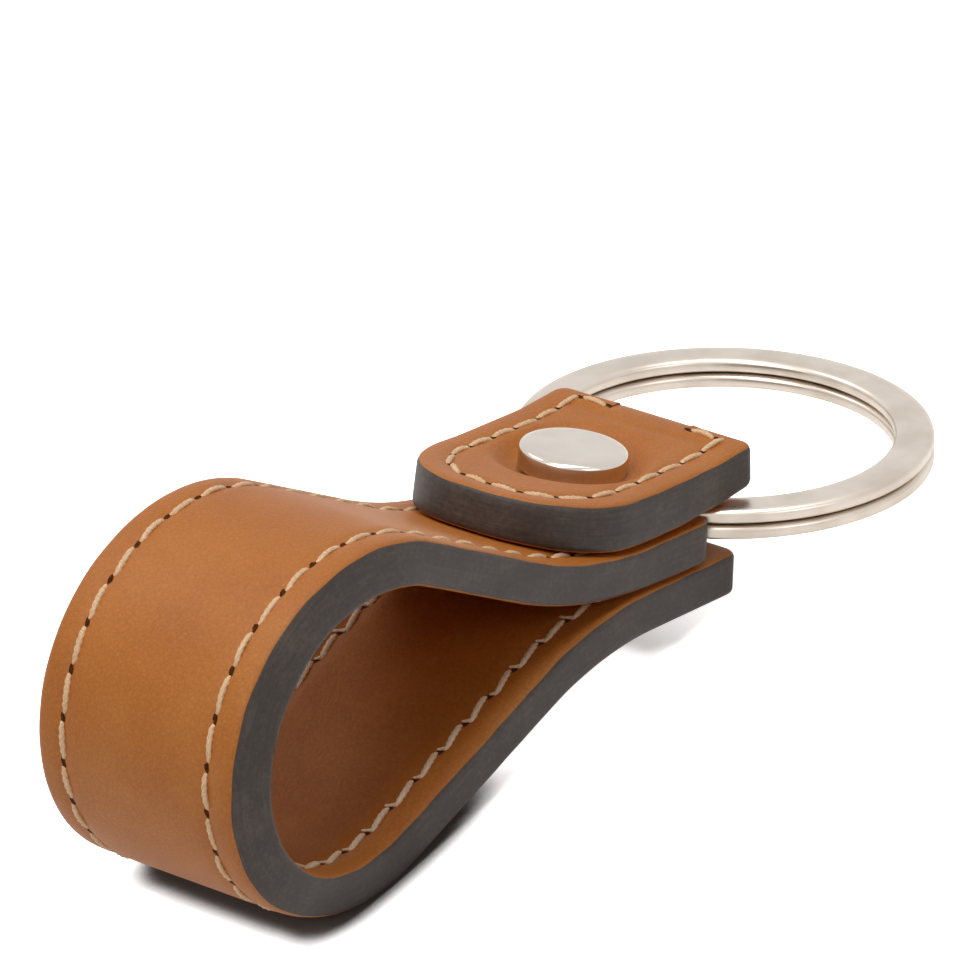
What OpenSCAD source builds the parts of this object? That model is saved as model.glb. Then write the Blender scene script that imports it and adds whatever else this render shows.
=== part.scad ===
/* [Strap] */
// Width of the leather strap
strap_w = 20; // [14:0.5:30]
// Thickness of one leather ply
ply_t = 1.9; // [1.2:0.1:2.6]
// Straight run at the strap's plain end
end_run = 11.4; // [6:0.2:16]
// Bend radius of the underside where the lower strap turns down
dip_r = 33; // [20:1:50]
// Slope of the lower strap
lower_angle = 24; // [18:0.5:30]
// How far the plain end reaches past the middle layer's shoulders
end_step = 3.9; // [2:0.1:6]

/* [Finger loop] */
// Outer radius under the loop
loop_low_r = 17.3; // [12:0.1:24]
// Angle turned under the loop
loop_low_angle = 50; // [35:1:65]
// Outer radius at the side of the loop
loop_side_r = 14.4; // [10:0.1:20]
// Angle turned at the side of the loop
loop_side_angle = 120; // [100:1:130]
// Outer radius over the loop
loop_top_r = 18.7; // [12:0.1:24]
// Slope of the upper strap
upper_angle = 23; // [18:0.5:30]
// Bend radius of the top face where the upper strap levels out
clamp_r = 42; // [25:1:60]
// Distance from the middle layer's shoulders back to that bend
clamp_back = 7.2; // [4:0.1:10]

/* [Tab] */
// Length of the tab over the middle layer
tab_len = 25.6; // [18:0.2:32]
// How far the tab reaches past the middle layer's shoulders
tab_reach = 5.5; // [3:0.1:9]
// Gap between the tab and the middle layer
tab_lift = 0.8; // [0.2:0.05:1.2]
// Angle that the ring lifts the tab's right end by
tab_angle = 5; // [4:0.5:10]
// Bend radius of the tab's underside at that lift
tab_bend_r = 30; // [15:1:60]
// Corner radius of the tab's left end
tab_corner_r = 9.3; // [4:0.1:9.8]
// Distance from the middle layer's shoulders back to the rivet
rivet_back = 6; // [4:0.1:9]

/* [Fold] */
// Width of the neck that folds round the ring
neck_w = 7; // [5:0.5:11]
// Skived thickness of the neck
neck_t = 1.2; // [0.8:0.05:1.6]
// Straight run of the neck before it folds
neck_run = 4; // [2:0.1:7]
// Width of the slits beside the neck
slit_w = 0.3; // [0.2:0.05:1]

/* [Split ring] */
// Outside diameter of the ring
ring_od = 35; // [28:0.5:40]
// Radial width of the flattened wire
wire_w = 3.3; // [2:0.1:4]
// Height of one turn of the wire
wire_h = 1.3; // [0.9:0.05:1.5]
// Gap between the two turns
turn_gap = 0.1; // [0.05:0.01:0.2]
// Rounding of the wire's corners
wire_round = 0.4; // [0.2:0.05:0.6]
// Height of the ring's middle over the neck
ring_seat = 1.65; // [1.4:0.05:2.2]
// How far the ring reaches behind the shoulders
ring_inset = 2.7; // [0.5:0.1:3.5]
// Angle that one turn takes to climb to the other
climb_angle = 36; // [20:1:60]

/* [Rivet] */
// Diameter of the polished cap
cap_d = 9; // [7:0.1:11]
// Height of the polished cap
cap_h = 1.5; // [1:0.1:2.2]
// Bevel round the cap
cap_bevel = 0.4; // [0.2:0.05:0.7]
// Depth that the cap presses into the tab
cap_press = 0.7; // [0.1:0.1:1.3]
// Width of the pressed slope round the cap
press_run = 2; // [0.5:0.1:2.6]
// Diameter of the stud
stud_d = 3; // [2:0.1:4]
// Height of the back cap
back_h = 0.9; // [0.6:0.1:1.4]
// Diameter of the back cap
back_d = 8.5; // [6.5:0.1:10]

/* [Stitching] */
// Distance of the stitch rows from the strap's edges
row_inset = 2.6; // [1.8:0.1:3.6]
// Width of the thread's bed
thread_w = 0.8; // [0.5:0.05:1.1]
// Depth of the thread's bed
thread_t = 0.45; // [0.3:0.05:0.7]
// Distance of the tab row's turns from the tab's right end
turn_inset = 1.3; // [0.8:0.1:2.6]

/* [Fits] */
// Gap between the tab's left end and the strap under it
tip_gap = 0.1; // [0.05:0.05:0.5]
// Gap between the ring and the hollow cut for it
ring_gap = 0.35; // [0.2:0.05:1]
// Gap round the stud in the leather
stud_gap = 0.1; // [0.05:0.01:0.2]
// Gap round the stud in its caps
press_gap = 0.03; // [0.02:0.01:0.05]
// Gap beside a thread in its bed
bed_gap = 0.05; // [0.03:0.01:0.1]
// Gap between the strap's two stacked ends
layer_gap = 0.1; // [0.06:0.01:0.3]
// Skiving off the neck's outer face
skive = 0.1; // [0.05:0.01:0.3]
// Depth that the back cap is pressed into the strap
back_press = 0.1; // [0.05:0.01:0.3]

/* [Hidden] */
$fn = 96;
strap_t = 2 * ply_t;
over = ply_t;

// Strap path along the joint of the two plies
turn_out = 180;
low_heading = turn_out + lower_angle;
loop_top_angle = low_heading - loop_low_angle - loop_side_angle + upper_angle;
dip_i = dip_r + ply_t;
low_i = loop_low_r - ply_t;
side_i = loop_side_r - ply_t;
top_i = loop_top_r - ply_t;
clamp_i = clamp_r + ply_t;
function step(p, s) =
    s[0] == 0 ? [p[0] + s[1] * cos(p[2]), p[1] + s[1] * sin(p[2]), p[2]] :
    let (k = sign(s[2]), h = p[2] + s[2])
    [p[0] + k * s[1] * (sin(h) - sin(p[2])), p[1] - k * s[1] * (cos(h) - cos(p[2])), h];
first_legs = [[0, end_run, 0], [1, dip_i, lower_angle]];
loop_legs = [
    [1, low_i, -loop_low_angle],
    [1, side_i, -loop_side_angle],
    [1, top_i, -loop_top_angle]
];
function run_pose(legs, p, n) = n == 0 ? p : step(run_pose(legs, p, n - 1), legs[n - 1]);
start_pose = [end_step, ply_t, turn_out];
arc_step = 3;
function leg_poses(p, s) =
    let (n = s[0] == 0 ? 1 : ceil(abs(s[2]) / arc_step))
    [for (k = [1 : n]) step(p, s[0] == 0 ? s : [1, s[1], s[2] * k / n])];
function path_poses(ls, p) =
    concat([p], [for (i = [0 : len(ls) - 1]) each leg_poses(run_pose(ls, p, i), ls[i])]);
function side_points(ps, o) = [for (q = ps) [q[0] - o * sin(q[2]), q[1] + o * cos(q[2])]];

// Straight runs that bring the loop back over the strap's plain end
level_z = ply_t + strap_t + layer_gap;
clamp_x = -clamp_back;
clamp_drop = clamp_i * (1 - cos(upper_angle));
loop_end = run_pose(concat(first_legs, loop_legs), start_pose, len(first_legs) + len(loop_legs));
far_run = clamp_x - clamp_i * sin(upper_angle) - loop_end[0];
fall = loop_end[1] - level_z - clamp_drop;
lower_run = (fall * cos(upper_angle) - far_run * sin(upper_angle)) / sin(low_heading + upper_angle - turn_out);
upper_run = (fall + lower_run * sin(low_heading)) / sin(upper_angle);
lower_legs = concat(first_legs, [[0, lower_run, 0]]);
last_legs = [[0, upper_run, 0], [1, clamp_i, upper_angle], [0, clamp_back, 0]];
legs = concat(lower_legs, loop_legs, last_legs);

// Tab path along the joint of its two plies
stack_z = 2 * strap_t + layer_gap;
tab_z = stack_z + tab_lift + ply_t;
tab_bend_i = tab_bend_r - ply_t;
rivet_x = -rivet_back;
flat_x = rivet_x + cap_d / 2;
bend_x = flat_x + tab_bend_i * sin(tab_angle);
bend_z = tab_z + tab_bend_i * (1 - cos(tab_angle));
tab_rise_run = (tab_reach - bend_x) / cos(tab_angle);
tab_left = tab_reach - tab_len;
tip_run = clamp_x - tab_left;
tip_rise = clamp_r - sqrt(clamp_r * clamp_r - tip_run * tip_run) + tip_gap - tab_lift;
tab_clamp_i = (tip_run * tip_run + tip_rise * tip_rise) / (2 * tip_rise) - ply_t;
tab_start = [tab_reach, bend_z + (tab_reach - bend_x) * tan(tab_angle), turn_out + tab_angle];
tab_legs = [
    [0, tab_rise_run, 0],
    [1, tab_bend_i, -tab_angle],
    [0, flat_x - clamp_x, 0],
    [1, tab_clamp_i, -upper_angle]
];

// Neck that folds round the ring
neck_z = strap_t + layer_gap;
fold_x = neck_run;
tab_top_z = bend_z + ply_t / cos(tab_angle) + (fold_x - bend_x) * tan(tab_angle);
fold_r = (tab_top_z - neck_z) * cos(tab_angle) / (1 + cos(tab_angle));
neck_end_x = fold_x - fold_r * sin(tab_angle);
neck_back_x = -2 * ring_inset;
neck_legs = [
    [0, fold_x - neck_back_x, 0],
    [1, fold_r, turn_out + tab_angle],
    [0, ply_t, 0]
];

// Split ring
ring_r = ring_od / 2;
ring_mid_r = ring_r - wire_w / 2;
ring_h = 2 * wire_h + turn_gap;
hinge_x = -ring_inset + wire_w / 2;
hinge_z = neck_z + neck_t + ring_seat;
pocket_r = ring_r + ring_gap;
ring_x = hinge_x + ring_mid_r;

// Rest pose on a level floor
low_pose = run_pose(legs, start_pose, len(lower_legs));
low_c = [low_pose[0] + low_i * sin(low_pose[2]), low_pose[1] - low_i * cos(low_pose[2])];
floor_d = norm([low_c[0] - end_step, low_c[1]]);
floor_heading = atan2(low_c[1], low_c[0] - end_step) + asin(loop_low_r / floor_d);
rest_tilt = floor_heading - turn_out;
floor_z = -end_step * sin(rest_tilt);
hinge_up = hinge_z * cos(rest_tilt) - hinge_x * sin(rest_tilt) - floor_z;
hinge_along = hinge_x * cos(rest_tilt) + hinge_z * sin(rest_tilt);
far_x = ring_mid_r + ring_r - wire_round;
far_z = ring_h / 2 - wire_round;
ring_lie = atan2(far_z, far_x) - asin((hinge_up - wire_round) / norm([far_x, far_z]));
ring_right = hinge_along + (far_x * cos(ring_lie) + far_z * abs(sin(ring_lie))) + wire_round;
side_pose = run_pose(legs, start_pose, len(lower_legs) + 1);
side_c = [side_pose[0] + side_i * sin(side_pose[2]), side_pose[1] - side_i * cos(side_pose[2])];
loop_left = side_c[0] * cos(rest_tilt) + side_c[1] * sin(rest_tilt) - loop_side_r;
centre_x = (ring_right + loop_left) / 2;

// Rivet
cap_z = stack_z + tab_lift + strap_t - cap_press;
back_z = back_press;
stud_in = cap_h / 2;
bed_over = layer_gap / 2;
back_in = back_h / 2;

// Stitch rows
row_y = strap_w / 2 - row_inset;
bed_w = thread_w + 2 * bed_gap;
tan_c = [0.72, 0.45, 0.22];
lining_c = [0.62, 0.38, 0.2];
nickel_c = [0.8, 0.78, 0.75];
thread_c = [0.9, 0.78, 0.62];

module rest() {
    translate([-centre_x, 0, -floor_z])
        rotate([0, rest_tilt, 0])
            children();
}

// Band between two offsets from a path, as wide as w
module band(ls, p, o1, o2, w) {
    ps = path_poses(ls, p);
    rotate([90, 0, 0])
        linear_extrude(w, center = true)
            polygon(concat(side_points(ps, o1), [for (i = [len(ps) - 1 : -1 : 0]) side_points(ps, o2)[i]]));
}

// Outline of the tab seen from above, drawn in by an inset and by another at its right end
module tab_plan(inset, end_inset) {
    r = tab_corner_r - inset;
    x0 = tab_left + inset;
    x1 = tab_reach - end_inset;
    y = strap_w / 2 - inset;
    translate([x0 + r, -y])
        square([x1 - x0 - r, 2 * y]);
    translate([x0, r - y])
        square([x1 - x0 - r, 2 * (y - r)]);
    translate([x0 + r, y - r])
        circle(r);
    translate([x0 + r, r - y])
        circle(r);
}

module tab_prism(inset, end_inset) {
    translate([0, 0, 2 * strap_t - over])
        linear_extrude(2 * strap_t + tab_len / 2)
            tab_plan(inset, end_inset);
}

// One ply of the tab
module tab_ply(o1, o2) {
    intersection() {
        band(tab_legs, tab_start, o1, o2, strap_w);
        tab_prism(0, 0);
    }
}

// Row of thread round the tab, open where the neck folds down
module tab_row(o1, o2, wide) {
    open_y = neck_w / 2 + 2 * slit_w;
    difference() {
        intersection() {
            band(tab_legs, tab_start, o1, o2, strap_w);
            tab_prism(row_inset - wide / 2, turn_inset - wide / 2);
        }
        tab_prism(row_inset + wide / 2, turn_inset + wide / 2);
        translate([tab_reach - row_inset - wide, -open_y, strap_t])
            cube([row_inset + wide, 2 * open_y, 3 * strap_t]);
    }
}

// Row of thread along one edge of the strap
module strap_row(side, o1, o2, wide, spare) {
    n = len(legs) - 1;
    cut = row_inset - spare;
    row_legs = [for (i = [0 : n]) i == 0 || i == n ? [0, legs[i][1] - cut, 0] : legs[i]];
    translate([0, side * row_y, 0])
        band(row_legs, [end_step - cut, ply_t, turn_out], o1, o2, wide);
}

// Beds pressed into the leather by the threads
module face_beds() {
    for (side = [-1, 1]) {
        strap_row(side, ply_t - thread_t, ply_t + bed_over, bed_w, bed_gap);
    }
}

module lining_beds() {
    for (side = [-1, 1]) {
        strap_row(side, -ply_t - bed_over, thread_t - ply_t, bed_w, bed_gap);
    }
}

module stud_hole() {
    translate([rivet_x, 0, -strap_t])
        cylinder(h = 5 * strap_t, r = stud_d / 2 + stud_gap);
}

// Room for the ring over the skived neck
module ring_hollow() {
    translate([ring_x, 0, neck_z + neck_t - skive])
        cylinder(h = strap_t + tab_lift / 2, r = pocket_r);
}

// Seats pressed into the leather by the two caps
module cap_seat() {
    rise = cap_press + bed_over;
    r = cap_d / 2 + stud_gap;
    translate([rivet_x, 0, cap_z])
        cylinder(h = rise, r1 = r, r2 = r + press_run * rise / cap_press);
}

module back_seat() {
    translate([rivet_x, 0, back_z - over])
        cylinder(h = over, r = back_d / 2 + stud_gap);
}

// Strip of the neck that folds up round the ring
module neck() {
    band(neck_legs, [neck_back_x, neck_z, 0], skive, neck_t, neck_w);
}

// Room cut from the tab's plies for the fold
module fold_room(back) {
    w = neck_w + 2 * slit_w;
    translate([neck_end_x - back, -w / 2, strap_t])
        cube([tab_len, w, 4 * strap_t]);
}

module face_ply() {
    color(tan_c) rest() difference() {
        band(legs, start_pose, 0, ply_t, strap_w);
        face_beds();
        stud_hole();
        ring_hollow();
        back_seat();
    }
}

module lining_ply() {
    color(lining_c) rest() difference() {
        union() {
            difference() {
                union() {
                    band(legs, start_pose, -ply_t, 0, strap_w);
                    difference() {
                        tab_ply(-ply_t, 0);
                        fold_room(0);
                    }
                }
                ring_hollow();
            }
            neck();
        }
        lining_beds();
        tab_row(-ply_t - bed_over, thread_t - ply_t, bed_w);
        stud_hole();
        cap_seat();
    }
}

module tab_backing() {
    color(tan_c) rest() difference() {
        tab_ply(0, ply_t);
        fold_room(fold_x + ring_inset + ring_gap);
        tab_row(ply_t - thread_t, ply_t + bed_over, bed_w);
        stud_hole();
    }
}

// Section of the flattened wire, corners rounded
function wire_section() =
    let (a = wire_w / 2 - wire_round, b = wire_h / 2 - wire_round)
    [for (q = [0 : 3], k = [0 : 2])
        let (t = q * 90 + k * 45, sx = (q == 0 || q == 3) ? a : -a, sz = (q < 2) ? b : -b)
        [sx + wire_round * cos(t), sz + wire_round * sin(t)]];

// Two turns of wire that climb from the lower to the upper one at the hidden side
module ring_wire() {
    half = climb_angle / 2;
    first = half + climb_angle / 6;
    last = 720 - first;
    n = 114;
    rise = wire_h + turn_gap;
    sec = wire_section();
    m = len(sec);
    pts = [for (i = [0 : n])
        let (
            t = first + (last - first) * i / n,
            u = min(max((t - 360 + half) / climb_angle, 0), 1),
            z = rise * ((1 - cos(180 * u)) / 2 - 1 / 2)
        )
        for (q = sec)
            [-(ring_mid_r + q[0]) * cos(t), -(ring_mid_r + q[0]) * sin(t), z + q[1]]];
    sides = [for (i = [0 : n - 1], j = [0 : m - 1], k = [0, 1])
        let (a = i * m + j, b = i * m + (j + 1) % m)
        k == 0 ? [a, a + m, b] : [b, a + m, b + m]];
    ends = [[for (j = [0 : m - 1]) j], [for (j = [m - 1 : -1 : 0]) n * m + j]];
    polyhedron(points = pts, faces = concat(sides, ends));
}

module split_ring() {
    color(nickel_c)
        translate([hinge_along - centre_x, 0, hinge_up])
            rotate([0, -ring_lie, 0])
                translate([ring_mid_r, 0, 0])
                    ring_wire();
}

module rivet_cap() {
    color(nickel_c) rest() translate([rivet_x, 0, cap_z]) difference() {
        rotate_extrude()
            polygon([
                [0, 0],
                [cap_d / 2, 0],
                [cap_d / 2, cap_h - cap_bevel],
                [cap_d / 2 - cap_bevel, cap_h],
                [0, cap_h]
            ]);
        translate([0, 0, -over])
            cylinder(h = over + stud_in, r = stud_d / 2 + press_gap);
    }
}

module rivet_stud() {
    color(nickel_c) rest() translate([rivet_x, 0, back_z - back_in])
        cylinder(h = back_in - back_z + cap_z + stud_in, d = stud_d);
}

module rivet_back_cap() {
    color(nickel_c) rest() translate([rivet_x, 0, back_z - back_h]) difference() {
        rotate_extrude()
            polygon([
                [0, 0],
                [back_d / 2 - cap_bevel, 0],
                [back_d / 2, cap_bevel],
                [back_d / 2, back_h],
                [0, back_h]
            ]);
        translate([0, 0, back_h - back_in])
            cylinder(h = back_in + over, r = stud_d / 2 + press_gap);
    }
}

module thread_front_face() {
    color(thread_c) rest() strap_row(-1, ply_t - thread_t, ply_t, thread_w, 0);
}

module thread_back_face() {
    color(thread_c) rest() strap_row(1, ply_t - thread_t, ply_t, thread_w, 0);
}

module thread_front_lining() {
    color(thread_c) rest() strap_row(-1, -ply_t, thread_t - ply_t, thread_w, 0);
}

module thread_back_lining() {
    color(thread_c) rest() strap_row(1, -ply_t, thread_t - ply_t, thread_w, 0);
}

module thread_tab_top() {
    color(thread_c) rest() tab_row(-ply_t, thread_t - ply_t, thread_w);
}

module thread_tab_under() {
    color(thread_c) rest() tab_row(ply_t - thread_t, ply_t, thread_w);
}

face_ply();
lining_ply();
tab_backing();
split_ring();
rivet_cap();
rivet_stud();
rivet_back_cap();
thread_front_face();
thread_back_face();
thread_front_lining();
thread_back_lining();
thread_tab_top();
thread_tab_under();
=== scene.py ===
"""Looks of a leather key holder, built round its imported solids.

A strap of two sewn plies is looped back over its own plain end. Its lining ply
runs on as a neck that folds round a split ring and comes back as a tab, and a
rivet clamps the stack. Sizes are in millimetres and repeat the solids' own.
"""

from __future__ import annotations

import logging
import math
from collections.abc import Callable
from dataclasses import dataclass, field
from enum import Enum
from functools import partial

import bmesh
import bpy
import numpy as np
from mathutils import Matrix, Vector


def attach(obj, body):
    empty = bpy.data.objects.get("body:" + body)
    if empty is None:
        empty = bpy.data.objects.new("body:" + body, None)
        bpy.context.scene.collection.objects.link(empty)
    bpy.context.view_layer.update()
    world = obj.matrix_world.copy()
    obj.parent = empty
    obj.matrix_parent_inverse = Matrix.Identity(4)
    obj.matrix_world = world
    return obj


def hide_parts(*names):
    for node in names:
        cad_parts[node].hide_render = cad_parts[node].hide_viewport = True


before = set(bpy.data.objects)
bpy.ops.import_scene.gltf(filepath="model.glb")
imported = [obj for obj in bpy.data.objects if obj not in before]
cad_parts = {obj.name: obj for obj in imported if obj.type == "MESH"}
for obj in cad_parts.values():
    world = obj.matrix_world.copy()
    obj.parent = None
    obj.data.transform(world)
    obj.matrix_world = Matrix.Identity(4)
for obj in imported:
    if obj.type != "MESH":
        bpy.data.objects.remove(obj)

Pair = tuple[float, float]
Triple = tuple[float, float, float]
Table = tuple[Pair, ...]
Piece = bpy.types.Object
Look = list[bpy.types.Material]

LOG = logging.getLogger("key_holder")
MM = 0.001
SEED = 7
SHARP_ANGLE = math.radians(38)
RUN_MAP = "run"
TINY = 1e-9


class Body(Enum):
    """The part's two bodies."""

    STRAP = "strap"
    RING = "ring"


class Slot(Enum):
    """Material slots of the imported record."""

    FACE = "leather_face"
    LINING = "leather_lining"
    RING = "ring_nickel"
    RIVET = "rivet_nickel"
    THREAD = "thread"


# ---------------------------------------------------------------- materials

AddNode = Callable[..., bpy.types.Node]
Socket = bpy.types.NodeSocket
WHITE = "#FFFFFF"

# Numbers of the Mix node's sockets, which share their names
MIX_A, MIX_B, MIX_OUT = 2, 3, 0
TINT_A, TINT_B, TINT_OUT = 6, 7, 2
TINT = {"data_type": "RGBA"}


def linear(colour: str) -> tuple[float, float, float, float]:
    """Turns an sRGB hex colour into linear values.

    Args:
        colour: Six hex digits after a hash sign.

    Returns:
        Red, green, blue and alpha, linear.
    """
    parts = [int(colour[i : i + 2], 16) / 255 for i in (1, 3, 5)]
    out = [c / 12.92 if c <= 0.04045 else ((c + 0.055) / 1.055) ** 2.4 for c in parts]
    return out[0], out[1], out[2], 1.0


def add_node(
    tree: bpy.types.NodeTree,
    kind: str,
    settings: dict[str, object] | None = None,
    values: dict[str | int, object] | None = None,
    links: dict[str | int, Socket] | None = None,
    stops: tuple[tuple[float, str], ...] = (),
) -> bpy.types.Node:
    """Adds a node with its settings, values and links.

    Args:
        tree: Node tree that gets the node.
        kind: The node's type name, without the ShaderNode prefix.
        settings: Properties of the node.
        values: Constants on its inputs.
        links: Sockets that feed its inputs.
        stops: Places and colours of its ramp, in order.

    Returns:
        The new node.
    """
    node = tree.nodes.new("ShaderNode" + kind)
    for name, value in (settings or {}).items():
        setattr(node, name, value)
    for key, value in (values or {}).items():
        node.inputs[key].default_value = value
    for key, socket in (links or {}).items():
        tree.links.new(socket, node.inputs[key])
    for i, (place, colour) in enumerate(stops):
        marks = node.color_ramp.elements
        mark = marks[i] if i < len(marks) else marks.new(place)
        mark.position, mark.color = place, linear(colour)
    return node


@dataclass(frozen=True)
class Finish:
    """A surface finish, drawn by shader nodes; the floor's and the awl holes' hold painted shade.
    """

    name: str

    def shade(self, add: AddNode, space: Socket) -> bpy.types.Node:
        """Adds the finish's own nodes.

        Args:
            add: Adds a node to the material.
            space: Object coordinates in millimetres.

        Returns:
            The shader node.
        """
        raise NotImplementedError

    def material(self) -> bpy.types.Material:
        """Builds the node material."""
        material = bpy.data.materials.new(self.name)
        material.use_nodes = True
        material.node_tree.nodes.clear()
        add = partial(add_node, material.node_tree)
        where = add("TexCoord").outputs["Object"]
        space = add("Mapping", values={"Scale": (1 / MM,) * 3}, links={"Vector": where})
        shader = self.shade(add, space.outputs["Vector"])
        add("OutputMaterial", links={"Surface": shader.outputs[0]})
        return material


@dataclass(frozen=True)
class CalfLeather(Finish):
    """Vegetable-tanned calf, dyed through and lightly waxed.

    The eye gets a warm tan with soft cloudy mottling, a fine pebbled grain with
    open pores, and a low sheen that is duller where the wax has worn off.
    """

    deep: str = "#A65D1C"
    base: str = "#B36922"
    light: str = "#BF7833"
    pore: str = "#7A4315"
    mottle_mm: float = 9.0
    fleck_mm: float = 0.24
    grain_mm: float = 0.5
    pore_reach: float = 0.18
    pore_share: float = 0.15
    grain_height_mm: float = 0.05
    sheen: float = 0.38
    roughness: Pair = (0.44, 0.6)

    def shade(self, add: AddNode, space: Socket) -> bpy.types.Node:
        """Adds cloudy and flecked tone, pored grain, and the sheen."""
        where = {"Vector": space}
        cloud, fleck = (
            add("TexNoise", None, {"Scale": 1 / size, **detail}, where).outputs["Fac"]
            for size, detail in (
                (self.mottle_mm, {"Detail": 4.0, "Roughness": 0.6}),
                (self.fleck_mm, {"Detail": 3.0, "Roughness": 0.65}),
            )
        )
        cells = {"Scale": 1 / self.grain_mm, "Randomness": 1.0}
        grain = add("TexVoronoi", {"feature": "DISTANCE_TO_EDGE"}, cells, where)
        stops = ((0.3, self.deep), (0.5, self.base), (0.7, self.light))
        tone, fleck_tone = (
            add("ValToRGB", links={"Fac": noise}, stops=stops).outputs["Color"]
            for noise in (cloud, fleck)
        )
        both = add("Mix", TINT, {"Factor": 0.5}, {TINT_A: tone, TINT_B: fleck_tone})
        edge = grain.outputs["Distance"]
        share = {"From Max": self.pore_reach, "To Min": self.pore_share, "To Max": 0.0}
        pits = add("MapRange", None, share, {"Value": edge}).outputs["Result"]
        pored = {"Factor": pits, TINT_A: both.outputs[TINT_OUT]}
        coloured = add("Mix", TINT, {TINT_B: linear(self.pore)}, pored)
        dull, worn = self.roughness
        blur = add("MapRange", values={"To Min": dull, "To Max": worn}, links={"Value": fleck})
        height = add("Math", {"operation": "ADD"}, links={0: edge, 1: fleck})
        depth = {"Strength": 0.8, "Distance": self.grain_height_mm * MM}
        bump = add("Bump", None, depth, {"Height": height.outputs["Value"]})
        return add(
            "BsdfPrincipled",
            values={"IOR": 1.5, "Specular IOR Level": self.sheen},
            links={
                "Base Color": coloured.outputs[TINT_OUT],
                "Roughness": blur.outputs["Result"],
                "Normal": bump.outputs["Normal"],
            },
        )


@dataclass(frozen=True)
class EdgePaint(Finish):
    """Acrylic edge paint, rolled on and heat-sealed.

    The eye gets a semi-matte dark grey-brown band with fine streaks and small
    rubbed spots where the leather's fibres lift it.
    """

    dark: str = "#2A211C"
    base: str = "#3D332D"
    rubbed: str = "#5A4E46"
    streak_mm: Pair = (5.0, 0.28)
    lump_mm: float = 0.45
    cloud_mm: float = 4.0
    cloud_share: float = 0.35
    lump_height_mm: float = 0.05
    roughness: Pair = (0.4, 0.6)

    def shade(self, add: AddNode, space: Socket) -> bpy.types.Node:
        """Adds streaks along the edge, lumps and clouds of rubbed paint."""
        run = add("UVMap", {"uv_map": RUN_MAP}).outputs["UV"]
        along, across = self.streak_mm
        stretched = add("Mapping", None, {"Scale": (1 / along, 1 / across, 1)}, {"Vector": run})
        streak, lump, cloud = (
            add(
                "TexNoise",
                values={"Scale": scale, "Detail": detail, "Roughness": rough},
                links={"Vector": where},
            ).outputs["Fac"]
            for where, scale, detail, rough in (
                (stretched.outputs["Vector"], 1.0, 4.0, 0.65),
                (space, 1 / self.lump_mm, 4.0, 0.7),
                (space, 1 / self.cloud_mm, 3.0, 0.5),
            )
        )
        fine = add("Mix", None, {"Factor": 0.5}, {MIX_A: streak, MIX_B: lump}).outputs[MIX_OUT]
        mixed = add("Mix", None, {"Factor": self.cloud_share}, {MIX_A: fine, MIX_B: cloud})
        stops = ((0.34, self.dark), (0.5, self.base), (0.68, self.rubbed))
        tone = add("ValToRGB", links={"Fac": mixed.outputs[MIX_OUT]}, stops=stops)
        depth = {"Strength": 0.7, "Distance": self.lump_height_mm * MM}
        bump = add("Bump", None, depth, {"Height": fine})
        low, high = self.roughness
        sheen = add("MapRange", values={"To Min": low, "To Max": high}, links={"Value": streak})
        return add(
            "BsdfPrincipled",
            values={"IOR": 1.48, "Specular IOR Level": 0.4},
            links={
                "Base Color": tone.outputs["Color"],
                "Roughness": sheen.outputs["Result"],
                "Normal": bump.outputs["Normal"],
            },
        )


@dataclass(frozen=True)
class WaxedThread(Finish):
    """Waxed polyester thread, two strands twisted.

    The eye gets a pale cream cord with darker creases between its strands and a
    faint waxy sheen. Filaments are drawn several times too coarse, so they show.
    """

    crease: str = "#C79C70"
    base: str = "#E2BC92"
    bright: str = "#F2D8B5"
    filament_mm: float = 0.12
    filament_height_mm: float = 0.02

    def shade(self, add: AddNode, space: Socket) -> bpy.types.Node:
        """Adds the filaments' tone and bump."""
        size = {"Scale": 1 / self.filament_mm, "Detail": 3.0, "Roughness": 0.6}
        filament = add("TexNoise", values=size, links={"Vector": space}).outputs["Fac"]
        stops = ((0.3, self.crease), (0.48, self.base), (0.7, self.bright))
        tone = add("ValToRGB", links={"Fac": filament}, stops=stops)
        depth = {"Strength": 0.8, "Distance": self.filament_height_mm * MM}
        bump = add("Bump", None, depth, {"Height": filament})
        return add(
            "BsdfPrincipled",
            values={"Roughness": 0.55, "IOR": 1.5, "Specular IOR Level": 0.3},
            links={"Base Color": tone.outputs["Color"], "Normal": bump.outputs["Normal"]},
        )


@dataclass(frozen=True)
class AwlHoleShade(Finish):
    """Painted shade of an awl hole: the eye gets a dark, matte brown dot, mottled like cut fibres.
    """

    dark: str = "#3A1C0C"
    lip: str = "#5C3216"
    fibre_mm: float = 0.2

    def shade(self, add: AddNode, space: Socket) -> bpy.types.Node:
        """Adds the painted shade's tone, mottled like torn fibres."""
        size = {"Scale": 1 / self.fibre_mm, "Detail": 2.0}
        fibre = add("TexNoise", values=size, links={"Vector": space}).outputs["Fac"]
        tone = add("ValToRGB", links={"Fac": fibre}, stops=((0.4, self.dark), (0.7, self.lip)))
        return add(
            "BsdfPrincipled",
            values={"Roughness": 0.9, "IOR": 1.5, "Specular IOR Level": 0.1},
            links={"Base Color": tone.outputs["Color"]},
        )


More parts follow.
